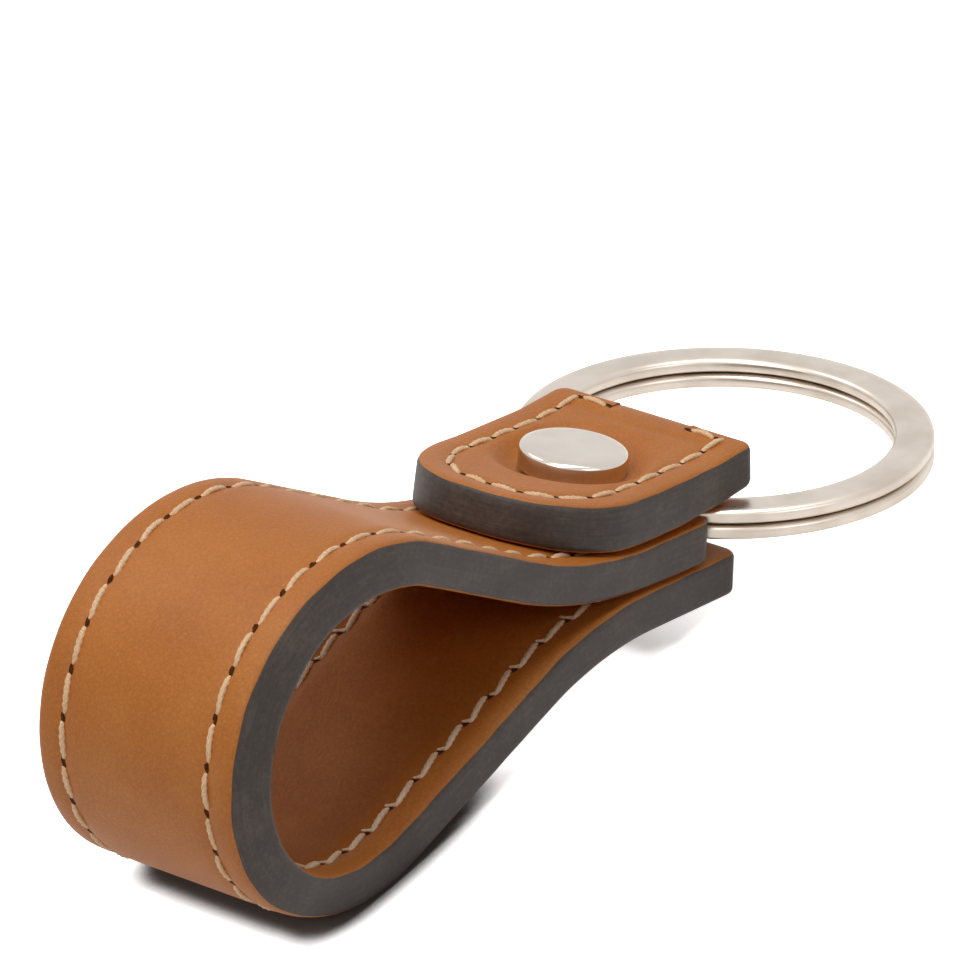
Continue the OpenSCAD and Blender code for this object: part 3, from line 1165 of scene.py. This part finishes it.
@dataclass(frozen=True)
class Neck:
    """Skived strip of the lining ply that folds up round the ring."""

    sizes: Sizes
    rounding: float = 0.12
    pitch: float = 0.35
    slit_fill: float = 0.95
    end_sunk: float = 0.3
    flat_inset: float = 1.0
    flat_points: int = 16
    flush_run: Pair = (4.0, 1.0)

    def sketch(self, sketch: Sketch, leather: int) -> None:
        """Adds the strip's closed surface."""
        z = self.sizes
        path = z.neck_path()
        s = np.linspace(0, path.length, int(path.length / self.pitch))
        x, up, h = path.at(s)
        over = path.length - z.ply_t
        flush = smooth(s, *(over - d for d in self.flush_run))
        half, r = z.neck_w / 2 + self.slit_fill * z.slit_w, self.rounding
        outer = z.skive * (1 - flush) + self.end_sunk * smooth(s, over, path.length)
        turn = np.radians([180, 150, 120, 90])
        corner = [(r + r * np.cos(t), r - r * np.sin(t)) for t in turn]
        profile = [(a - half, b, 0) for a, b in corner]
        flat = half - self.flat_inset
        profile += [(q, 0.0, 0) for q in np.linspace(-flat, flat, self.flat_points)]
        profile += [(half - a, b, 0) for a, b in corner[::-1]]
        profile += [(half - a, b, 1) for a, b in corner]
        profile += [(a - half, b, 1) for a, b in corner[::-1]]
        y, d, top = np.array(profile).T
        off = np.where(top > 0, z.neck_t - d, outer[:, None] + d)
        x, up, h = (values[:, None] for values in (x, up, h))
        rows = np.stack([x - off * np.sin(h), y + 0 * off, up + off * np.cos(h)], -1)
        sketch.add_tube(rows, leather)


# ---------------------------------------------------------------- stitching


class Twist(Enum):
    """Which side of the sewing shows: the neat one or the knotted one."""

    NEAT = "neat"
    KNOTTED = "knotted"


@dataclass(frozen=True)
class StitchRow:
    """A row of saddle stitches laid over a ply along a line of its plan.

    On the knotted side each stitch ends in a tick, a short turn of the thread
    that dips into the leather. Uneven values are the spread from one stitch to
    the next.
    """

    ply: Ply
    line: np.ndarray
    twist: Twist = Twist.NEAT
    pitch: float = 3.4
    thread_r: float = 0.25
    gap: float = 0.62
    slant: float = 5.0
    strand_turns: float = 2.6
    strand_relief: float = 0.16
    flatness: float = 0.85
    sunk: float = -0.35
    arch: float = 0.45
    arch_power: float = 0.3
    girth_share: float = 0.7
    knotted_gap: float = 0.4
    knotted_slant: float = 2.4
    tick: float = 1.0
    tick_from: float = 0.44
    tick_lean: float = 0.55
    tick_lift: float = 0.1
    tick_fall: float = 0.35
    tick_thins: float = 0.35
    uneven_length: float = 0.07
    uneven_place: float = 0.05
    uneven_lean: float = 1.5
    uneven_arch: float = 0.03
    uneven_bow: float = 0.05
    uneven_tick: float = 0.25
    hole_half: Pair = (0.48, 0.25)
    hole_slant: float = 14.0
    hole_ahead: float = 0.3
    hole_rings: Table = ((1.0, -0.06), (0.95, 0.012), (0.55, 0.022))
    look_ahead: float = 0.2

    def _along(self, d: np.ndarray, shift: np.ndarray) -> tuple[np.ndarray, np.ndarray]:
        """Plan points at distances along the line, moved sideways by a shift."""
        step = np.hypot(*np.diff(self.line, axis=0).T)
        run = np.concatenate([[0], np.cumsum(step)])
        (s, y), (s1, y1), (s0, y0) = (
            [np.interp(at, run, self.line[:, k]) for k in (0, 1)]
            for at in (d, d + self.look_ahead, d - self.look_ahead)
        )
        norm = np.hypot(s1 - s0, y1 - y0) + TINY
        return s - shift * (y1 - y0) / norm, y + shift * (s1 - s0) / norm

    def _strand(
        self,
        sketch: Sketch,
        d: np.ndarray,
        shift: np.ndarray,
        lift: np.ndarray,
        girth: np.ndarray,
        slot: int,
    ) -> None:
        """Adds one length of twisted thread.

        Args:
            sketch: What gets the points and faces.
            d: Distances along the row.
            shift: Distances sideways from it.
            lift: Heights of the thread's middle over the leather.
            girth: Radii in millimetres.
            slot: Material slot of the thread.
        """
        s, y = self._along(d, shift)
        centre = self.ply.face_point(s, y, lift)
        normal = unit(centre - self.ply.face_point(s, y, lift - 0.5))
        tangent = unit(np.gradient(centre, axis=0))
        side = unit(np.cross(normal, tangent))
        up = np.cross(tangent, side)
        turn = round_turn(30)
        phase = 2 * math.pi * self.strand_turns * ((d - d[0]) / (d[-1] - d[0]))[:, None]
        radius = girth[:, None] * (1 + self.strand_relief * np.cos(2 * (turn[None, :] - phase)))
        across = side[:, None, :] * (radius * np.cos(turn))[..., None]
        over = up[:, None, :] * (self.flatness * radius * np.sin(turn))[..., None]
        sketch.add_tube(centre[:, None, :] + across + over, slot)

    def sketch(self, sketch: Sketch, rng: np.random.Generator, thread: int, hole: int) -> None:
        """Adds every stitch of the row and its awl holes.

        Args:
            sketch: What gets the points and faces.
            rng: Source of the small unevenness.
            thread: Material slot of the thread.
            hole: Material slot of the holes.
        """
        total = float(np.hypot(*np.diff(self.line, axis=0).T).sum())
        count = max(1, round(total / self.pitch))
        pitch = total / count
        u = (1 - np.cos(np.linspace(0, math.pi, 25))) / 2
        knotted = self.twist is Twist.KNOTTED
        gap, slant, way = self.gap, self.slant, 1
        if knotted:
            gap, slant, way = self.knotted_gap, self.knotted_slant * self.slant, -1
        for k in range(count):
            jitter = rng.normal(0, 1, 5)
            length = pitch - gap + self.uneven_length * jitter[0]
            middle = (k + 0.5) * pitch + self.uneven_place * jitter[1]
            d = middle + (u - 0.5) * length
            lean = math.tan(math.radians(slant + self.uneven_lean * jitter[2])) * way
            bow = self.uneven_bow * jitter[4] * np.sin(math.pi * u)
            arch = np.abs(np.sin(math.pi * u)) ** self.arch_power
            lift = self.sunk + (self.arch + self.uneven_arch * jitter[3]) * arch
            girth = self.thread_r * (self.girth_share + (1 - self.girth_share) * arch)
            self._strand(sketch, d, lean * (u - 0.5) * length + bow, lift, girth, thread)
            if knotted:
                reach = self.tick * (1 + self.uneven_tick * jitter[3])
                v = np.linspace(0, 1, 8)
                start = self.tick_from * length
                tail = middle + start + reach * self.tick_lean * v
                aside = lean * start - way * reach * v
                fall = self.tick_lift - self.tick_fall * v**3
                thin = self.thread_r * (self.girth_share - self.tick_thins * v)
                self._strand(sketch, tail, aside, fall, thin, thread)
        for k in range(count + 1):
            self._hole(sketch, k * pitch, hole)

    def _hole(self, sketch: Sketch, d: float, slot: int) -> None:
        """Adds one slanted awl hole's painted shade, drawn as a dark lens on the face."""
        turn = round_turn(30)
        ends = np.array([d + self.hole_ahead, d - self.hole_ahead])
        (s1, s0), (y1, y0) = self._along(ends, np.zeros(2))
        heading = math.atan2(y1 - y0, s1 - s0) + math.radians(self.hole_slant)
        s, y = self._along(np.full(len(turn), d), 0 * turn)
        rows = []
        for size, lift in self.hole_rings:
            a, b = self.hole_half[0] * size * np.cos(turn), self.hole_half[1] * size * np.sin(turn)
            ps = s + a * math.cos(heading) - b * math.sin(heading)
            py = y + a * math.sin(heading) + b * math.cos(heading)
            rows.append(self.ply.face_point(ps, py, np.full(len(turn), lift)))
        grid = sketch.add_points(np.array(rows))
        sketch.add_quads(grid, slot, wrap=True)
        sketch.add_cap(grid[-1], slot)


# ---------------------------------------------------------------- pieces


def dress(piece: Piece, body: Body, slot: Slot, *nodes: str) -> None:
    """Puts a piece on its body and hides the solids it stands for.

    Args:
        piece: The new piece.
        body: What it moves with.
        slot: The record's material slot; not used.
        nodes: Names of the solids.
    """
    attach(piece, body.value)
    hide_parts(*nodes)
    LOG.info("built %s for %s", piece.name, ", ".join(nodes))


@dataclass
class Maker:
    """What every maker of pieces needs."""

    sizes: Sizes
    rest: RestPose
    finishes: Finishes

    def build_on_strap(self, sketch: Sketch, name: str, look: Look) -> Piece:
        """Builds a sketch that was drawn in the strap's own side view.

        Args:
            sketch: The points and faces.
            name: Name of the piece.
            look: Its material slots.

        Returns:
            The new object.
        """
        return sketch.build(name, self.rest.strap_matrix(), look)


@dataclass
class Strap(Maker):
    """The looped strap: face ply, lining ply and four rows of thread."""

    end_corner: float = 1.3

    def ply(self, side: int) -> Ply:
        """A ply of the strap, 1 for the face and -1 for the lining."""
        z = self.sizes
        path = z.strap_path()
        plan = Plan(path.length, z.strap_w / 2, self.end_corner, self.end_corner)
        return Ply(path, plan, side, z.ply_t, Relief(z.row_inset, z.row_inset), HandBend())

    def ring_room(self) -> Piece:
        """Cutter for the hollow that the ring lies in."""
        z = self.sizes
        low = z.neck_z + z.neck_t - z.skive
        centre = -z.ring_inset + z.wire_w / 2 + z.ring_mid_r
        high = low + z.strap_t + z.tab_lift / 2
        r, turn = z.ring_od / 2 + z.ring_gap, round_turn(1.5)
        rim = np.stack([centre + r * np.cos(turn), r * np.sin(turn)], -1)
        return plug(rim, low, high, self.rest.strap_matrix())

    def build_face(self) -> None:
        """Builds the face ply."""
        sketch = Sketch()
        self.ply(1).sketch(sketch, 0, 1)
        look = [self.finishes.face, self.finishes.paint]
        piece = self.build_on_strap(sketch, "face_leather", look)
        cut_away(piece, self.ring_room())
        dress(piece, Body.STRAP, Slot.FACE, "face_ply")

    def build_rows(self) -> None:
        """Builds the thread rows along both edges of both plies."""
        z = self.sizes
        rng = np.random.default_rng(SEED)
        reach = z.strap_path().length - z.row_inset
        for side, ply_name, twist in ((1, "face", Twist.NEAT), (-1, "lining", Twist.KNOTTED)):
            ply = self.ply(side)
            for edge, edge_name in ((-1, "front"), (1, "back")):
                y = edge * (z.strap_w / 2 - z.row_inset)
                line = np.array([(z.row_inset, y), (reach, y)])
                sketch = Sketch()
                StitchRow(ply, line, twist).sketch(sketch, rng, 0, 1)
                # Lining rows get the lighter thread, painted light against the loop's shade.
                thread = self.finishes.thread if side > 0 else self.finishes.inner_thread
                look = [thread, self.finishes.hole]
                name = f"{edge_name}_{ply_name}"
                piece = self.build_on_strap(sketch, f"stitches_{name}", look)
                dress(piece, Body.STRAP, Slot.THREAD, f"thread_{name}")


@dataclass
class Tab(Maker):
    """The tab over the stack: its top ply, its backing, the neck and its thread."""

    strap: Strap
    end_corner: float = 1.2
    moat_gap: float = 0.25
    moat: float = 0.7
    row_pitch: float = 2.9
    row_gap: float = 0.45
    mesh_pitch: Pair = (0.45, 0.35)
    backing_swell: Table = (
        (0.0, -0.15),
        (1.2, 0.05),
        (3.5, 0.16),
        (6.5, 0.2),
        (9.5, 0.5),
        (18.0, 0.5),
        (22.5, 0.28),
        (25.6, 0.02),
    )

    def ply(self, side: int) -> Ply:
        """A ply of the tab, -1 for the top and 1 for the backing."""
        z = self.sizes
        path = z.tab_path()
        plan = Plan(z.tab_len, z.strap_w / 2, self.end_corner, z.tab_corner_r)
        dish = None
        if side < 0:
            foot, brim = z.cap_d / 2 + self.moat_gap, z.cap_d / 2 + z.press_run + self.moat
            dish = (z.tab_reach - z.rivet_x, foot, brim, z.cap_press + self.moat)
        relief = Relief(z.row_inset, z.turn_inset, z.neck_w / 2 + z.slit_w, dish=dish)
        swell = ((0.0, 0.0),) if side < 0 else self.backing_swell
        return Ply(path, plan, side, z.ply_t, relief, None, swell, *self.mesh_pitch)

    def fold_room(self, back: float) -> Piece:
        """Cutter for the room that the neck's fold takes from the tab."""
        z = self.sizes
        half = z.neck_w / 2 + z.slit_w
        angle = math.radians(z.tab_angle)
        fold_r = z.neck_path().legs[1].radius
        left = z.neck_run - fold_r * math.sin(angle) - back
        right = left + z.tab_len
        room = np.array([(left, -half), (right, -half), (right, half), (left, half)])
        return plug(room, z.strap_t, 5 * z.strap_t, self.rest.strap_matrix())

    def row_line(self) -> np.ndarray:
        """Line of the tab's stitches in its plan, open at the neck."""
        z = self.sizes
        inset = z.row_inset
        y = z.strap_w / 2 - inset
        r = z.tab_corner_r - inset
        far = z.tab_len - inset
        turn = np.radians(np.arange(0, 91, 10))
        near, open_y = z.turn_inset, z.neck_w / 2 + 2 * z.slit_w
        front = [(near, -open_y), (near, -y), (far - r, -y)]
        round_one = [(far - r + r * math.sin(t), -y + r - r * math.cos(t)) for t in turn[1:]]
        round_two = [(far - r + r * math.cos(t), y - r + r * math.sin(t)) for t in turn]
        back = [(near, y), (near, open_y)]
        return np.array(front + round_one + round_two + back)

    def build_lining(self) -> None:
        """Builds the lining ply: the strap's inside, the neck and the tab's top."""
        # Inside the loop the ply wears the lining calf, painted darker as shade; the tab's top and
        # the neck wear the face's calf.
        look = [self.finishes.lining, self.finishes.paint, self.finishes.face]
        inside, top, neck = Sketch(), Sketch(), Sketch()
        self.strap.ply(-1).sketch(inside, 0, 1)
        self.ply(-1).sketch(top, 2, 1)
        Neck(self.sizes).sketch(neck, 2)
        piece = self.build_on_strap(inside, "lining_leather", look)
        cut_away(piece, self.strap.ring_room())
        over = self.build_on_strap(top, "tab_top", look)
        cut_away(over, self.fold_room(0.0))
        fold = self.build_on_strap(neck, "neck", look)
        work = bmesh.new()
        for part in (piece, over, fold):
            work.from_mesh(part.data)
        work.to_mesh(piece.data)
        work.free()
        for part in (over, fold):
            bpy.data.objects.remove(part)
        dress(piece, Body.STRAP, Slot.LINING, "lining_ply")

    def build_backing(self) -> None:
        """Builds the tab's backing ply."""
        z = self.sizes
        sketch = Sketch()
        self.ply(1).sketch(sketch, 0, 1)
        look = [self.finishes.face, self.finishes.paint]
        piece = self.build_on_strap(sketch, "tab_backing_leather", look)
        cut_away(piece, self.fold_room(z.neck_run + z.ring_inset + z.ring_gap))
        dress(piece, Body.STRAP, Slot.FACE, "tab_backing")

    def build_rows(self) -> None:
        """Builds the tab's thread, seen from above and from under it."""
        rng = np.random.default_rng(SEED + 1)
        for side, name, twist in ((-1, "top", Twist.NEAT), (1, "under", Twist.KNOTTED)):
            sketch, ply = Sketch(), self.ply(side)
            row = StitchRow(ply, self.row_line(), twist, self.row_pitch, gap=self.row_gap)
            row.sketch(sketch, rng, 0, 1)
            look = [self.finishes.thread, self.finishes.hole]
            piece = self.build_on_strap(sketch, f"stitches_tab_{name}", look)
            dress(piece, Body.STRAP, Slot.THREAD, f"thread_tab_{name}")


@dataclass
class Rivet(Maker):
    """The clamping rivet: polished cap, stud and back cap.

    The cap's side is given as distances in from the rim and down from the top,
    then come its shoulder and crown. The back is given from its crown, first as
    shares of the radius and then as distances in from the rim, with heights.
    """

    lean: float = 4.5
    lean_axis: Triple = (0.79, 0.61, 0.0)
    sunk: float = 0.55
    foot_bevel: Pair = (0.12, 0.1)
    side_top: Table = ((0.0, 0.45), (0.02, 0.38))
    shoulder: Triple = (0.06, 1.1, 1.4)
    shoulder_drop: Pair = (0.29, 2.2)
    crown: tuple[float, ...] = (0.7, 0.5, 0.3, 0.1, 0.0)
    crown_drop: float = 0.02
    back_crown: Table = ((0.0, 0.0), (0.3, 0.0), (0.6, 0.02), (0.8, 0.06))
    back_side: Table = ((0.35, 0.13), (0.12, 0.28), (0.0, 0.5))
    back_bevel: float = 0.03

    def _turned(self, name: str, node: str, profile: list[Pair], lean: float = 0.0) -> None:
        """Builds a turned piece round the rivet's axis.

        Args:
            name: Name of the piece.
            node: Name of its solid.
            profile: Radii and heights, from one end of the axis to the other.
            lean: Angle that it was set askew by.
        """
        turn = round_turn(2)
        x, (bottom, top) = self.sizes.rivet_x, (profile[i][1] for i in (0, -1))
        rows = [
            np.stack([x + r * np.cos(turn), r * np.sin(turn), 0 * turn + z], -1)
            for r, z in profile[1:-1]
        ]
        sketch = Sketch()
        grid = sketch.add_points(np.array(rows))
        sketch.add_quads(grid, wrap=True)
        poles = sketch.add_points(np.array([(x, 0, bottom), (x, 0, top)]))
        for ring, pole in ((grid[0], poles[0]), (grid[-1], poles[1])):
            for j in range(len(ring)):
                sketch.add_cap(np.array([ring[j], ring[(j + 1) % len(ring)], pole]))
        middle = Vector((x, 0, (bottom + top) / 2))
        turned = Matrix.Rotation(math.radians(lean), 4, Vector(self.lean_axis))
        askew = Matrix.Translation(middle) @ turned @ Matrix.Translation(-middle)
        piece = sketch.build(name, self.rest.strap_matrix() @ askew, [self.finishes.cap])
        dress(piece, Body.STRAP, Slot.RIVET, node)

    def build(self) -> None:
        """Builds the caps and dresses the stud."""
        z = self.sizes
        r, h = z.cap_d / 2, z.cap_h
        low = z.stack_z + z.tab_lift + z.strap_t - z.cap_press
        foot, (bevel_in, bevel_up) = -self.sunk, self.foot_bevel
        cap = [(0, foot), (r - bevel_in, foot), (r, foot + bevel_up)]
        cap += [(r - inset, h - drop) for inset, drop in self.side_top]
        start, run, power = self.shoulder
        fall, fall_power = self.shoulder_drop
        top = h - self.crown_drop
        for t in np.linspace(0, 1, 12)[1:]:
            cap.append((r - start - run * t**power, top - fall * (1 - t) ** fall_power))
        cap += [(r * f, h - self.crown_drop * f / self.crown[0]) for f in self.crown]
        self._turned("rivet_cap_polished", "rivet_cap", [(a, b + low) for a, b in cap], self.lean)
        r, h = z.back_d / 2, z.back_h
        low = z.back_press - h
        back = [(r * f, up) for f, up in self.back_crown]
        back += [(r - inset, up) for inset, up in self.back_side]
        back += [(r, h - self.back_bevel), (r - self.back_bevel, h), (0, h)]
        self._turned("rivet_back_polished", "rivet_back_cap", [(a, b + low) for a, b in back])
        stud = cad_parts["rivet_stud"]
        stud.data.materials.clear()
        stud.data.materials.append(self.finishes.cap)
        LOG.info("dressed rivet_stud")


@dataclass
class SplitRing(Maker):
    """The split ring: two turns of flattened wire, one climbing to the other."""

    stations: int = 360
    squareness: float = 3.3
    section_step: float = 9.0
    fuller: float = 0.045

    def section(self) -> np.ndarray:
        """Outline of the rolled wire, a soft oval, outwards and up."""
        z = self.sizes
        t = np.radians(np.arange(self.section_step / 2, 360, self.section_step))
        half_w, half_h = z.wire_w / 2, z.wire_h / 2 + self.fuller
        return np.stack(
            [
                np.sign(wave) * np.abs(wave) ** (2 / self.squareness) * half
                for wave, half in ((np.cos(t), half_w), (np.sin(t), half_h))
            ],
            -1,
        )

    def build(self) -> None:
        """Builds the wire."""
        z = self.sizes
        half = z.climb_angle / 2
        first = half + z.climb_angle / 6
        t = np.linspace(first, 720 - first, self.stations)
        climb = np.clip((t - 360 + half) / z.climb_angle, 0, 1)
        rise = (z.wire_h + z.turn_gap) * ((1 - np.cos(np.pi * climb)) / 2 - 0.5)
        section = self.section()
        reach = z.ring_mid_r + section[None, :, 0]
        turn = np.radians(t)[:, None]
        points = np.stack(
            [-reach * np.cos(turn), -reach * np.sin(turn), rise[:, None] + section[None, :, 1]], -1
        )
        sketch = Sketch()
        sketch.add_tube(points)
        piece = sketch.build("ring_wire", self.rest.ring_matrix(), [self.finishes.ring])
        dress(piece, Body.RING, Slot.RING, "split_ring")


# ---------------------------------------------------------------- studio


def aim(side: Vector, up: Vector, back: Vector, place_mm: Vector) -> Matrix:
    """Places a lamp or a camera by its own axes.

    Args:
        side: Its axis to the right.
        up: Its axis upwards.
        back: Its axis away from what it faces.
        place_mm: Where it stands.

    Returns:
        Its matrix in the frame, in metres.
    """
    turn = Matrix((side, up, back)).transposed().to_4x4()
    return Matrix.Translation(place_mm * MM) @ turn


@dataclass(frozen=True)
class Lamp:
    """A soft area lamp, placed round the object by angles and turned to it."""

    name: str
    azimuth: float
    height: float
    distance_mm: float
    size_mm: Pair
    power: float

    def build(self) -> None:
        """Builds the lamp."""
        a, e = math.radians(self.azimuth), math.radians(self.height)
        away = Vector((math.sin(a) * math.cos(e), -math.cos(a) * math.cos(e), math.sin(e)))
        lamp = bpy.data.lights.new(self.name, "AREA")
        lamp.shape = "RECTANGLE"
        lamp.size, lamp.size_y = (side * MM for side in self.size_mm)
        lamp.energy = self.power
        piece = bpy.data.objects.new(self.name, lamp)
        side = Vector((1, 0, 0)) if abs(away.x) < 0.5 else Vector((0, 1, 0))
        side = (side - away * side.dot(away)).normalized()
        piece.matrix_world = aim(side, away.cross(side), away, away * self.distance_mm)
        bpy.context.scene.collection.objects.link(piece)


@dataclass(frozen=True)
class Studio:
    """Pale floor, soft lamps, white surround and the photograph's view."""

    camera_mm: Triple = (-382.22, -344.68, 342.96)
    right: Triple = (0.6067, -0.7855, -0.1222)
    down: Triple = (-0.4894, -0.2479, -0.8361)
    lens: float = 282.93
    sensor: float = 36.0
    floor_half_mm: float = 3000.0
    floor_drop_mm: float = 0.02
    floor_cells: int = 8
    lamps: tuple[Lamp, ...] = (
        Lamp("overhead", 0.0, 88.0, 700.0, (900.0, 300.0), 3.5),
        Lamp("left", -90.0, 40.0, 700.0, (400.0, 300.0), 0.9),
        Lamp("front", 0.0, 35.0, 800.0, (400.0, 300.0), 0.6),
        Lamp("back", 180.0, 50.0, 800.0, (400.0, 300.0), 1.1),
    )
    surround: float = 0.02

    def build_camera(self) -> None:
        """Builds the camera at the photograph's angle."""
        lens = bpy.data.cameras.new("camera")
        lens.lens = self.lens
        lens.sensor_width = self.sensor
        camera = bpy.data.objects.new("camera", lens)
        right = Vector(self.right).normalized()
        up = -Vector(self.down)
        up = (up - right * up.dot(right)).normalized()
        camera.matrix_world = aim(right, up, right.cross(up), Vector(self.camera_mm))
        bpy.context.scene.collection.objects.link(camera)
        bpy.context.scene.camera = camera

    def build_floor(self) -> None:
        """Builds the floor, a hair under the object."""
        sketch = Sketch()
        side = np.linspace(-self.floor_half_mm, self.floor_half_mm, self.floor_cells + 1)
        x, y = np.meshgrid(side, side, indexing="ij")
        sketch.add_quads(sketch.add_points(np.stack([x, y, 0 * x - self.floor_drop_mm], -1)))
        material = FloorCard("floor_card").material()
        floor = sketch.build("floor", Matrix.Scale(MM, 4), [material])

    def build_world(self) -> None:
        """Builds the surround: white where seen or mirrored, softer as light."""
        world = bpy.data.worlds.new("surround")
        world.use_nodes = True
        world.node_tree.nodes.clear()
        add = partial(add_node, world.node_tree)
        path = add("LightPath").outputs
        sides = {MIX_A: self.surround, MIX_B: 1.0}
        mirrored = add("Mix", None, sides, {"Factor": path["Is Glossy Ray"]}).outputs[MIX_OUT]
        through = {0: path["Is Camera Ray"], 1: path["Is Transmission Ray"]}
        seen = add("Math", {"operation": "MAXIMUM"}, links=through).outputs["Value"]
        strength = add("Mix", None, {MIX_B: 1.0}, {"Factor": seen, MIX_A: mirrored})
        shown = {"Strength": strength.outputs[MIX_OUT]}
        light = add("Background", None, {"Color": linear(WHITE)}, shown)
        add("OutputWorld", links={"Surface": light.outputs["Background"]})
        bpy.context.scene.world = world

    def build(self) -> None:
        """Builds the whole studio."""
        self.build_camera()
        self.build_floor()
        self.build_world()
        for lamp in self.lamps:
            lamp.build()
        bpy.context.scene.view_settings.view_transform = "Standard"


def main() -> None:
    """Builds the object and its studio."""
    logging.basicConfig(level=logging.INFO, format="%(message)s")
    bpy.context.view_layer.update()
    sizes = Sizes()
    rest = RestPose(sizes)
    tilt, lie = math.degrees(rest.tilt), math.degrees(rest.ring_lie)
    LOG.info("tilt %.4f lie %.4f centre %.4f", tilt, lie, rest.centre_x)
    finishes = Finishes.make()
    Studio().build()
    strap = Strap(sizes, rest, finishes)
    strap.build_face()
    tab = Tab(sizes, rest, finishes, strap)
    tab.build_lining()
    tab.build_backing()
    strap.build_rows()
    tab.build_rows()
    Rivet(sizes, rest, finishes).build()
    SplitRing(sizes, rest, finishes).build()


if __name__ == "__main__":
    main()
